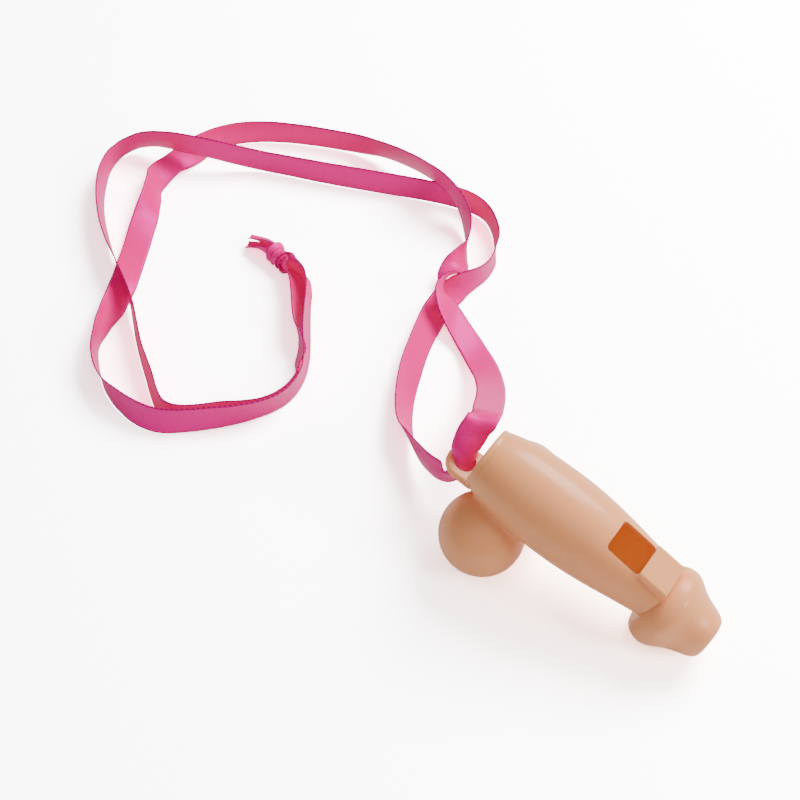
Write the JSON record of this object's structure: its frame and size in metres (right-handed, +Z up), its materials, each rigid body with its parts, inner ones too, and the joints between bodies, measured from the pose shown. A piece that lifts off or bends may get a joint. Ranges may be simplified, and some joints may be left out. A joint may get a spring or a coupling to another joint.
{
  "type": "novelty whistle",
  "caption": "Peach gloss-plastic novelty party whistle in an adult phallic shape, with a top sound window, a flared mouthpiece and a knotted pink satin ribbon lanyard.",
  "frame": {"origin": "centre of the whistle's bounding box, at the table under it, ribbon left out", "axes": "+X along the whistle's length, from the tail cap to the mouthpiece; +Z up; the whistle stands nose-down on its bulbs and mouthpiece rim, sound window upwards"},
  "size_m": [0.2932, 0.1523, 0.0457],
  "materials": {
    "peach_plastic": "glossy, slightly translucent moulded plastic",
    "pink_ribbon": "satin ribbon with a woven edge"
  },
  "bodies": {
    "root": {"body_shell": "peach_plastic", "windway_block": "peach_plastic", "mouthpiece_tip": "peach_plastic", "tail_cap": "peach_plastic", "ribbon_right": "pink_ribbon", "ribbon_left": "pink_ribbon", "ribbon_knot": "pink_ribbon", "ribbon_tail_long": "pink_ribbon", "ribbon_tail_short": "pink_ribbon"}
  },
  "joints": []
}
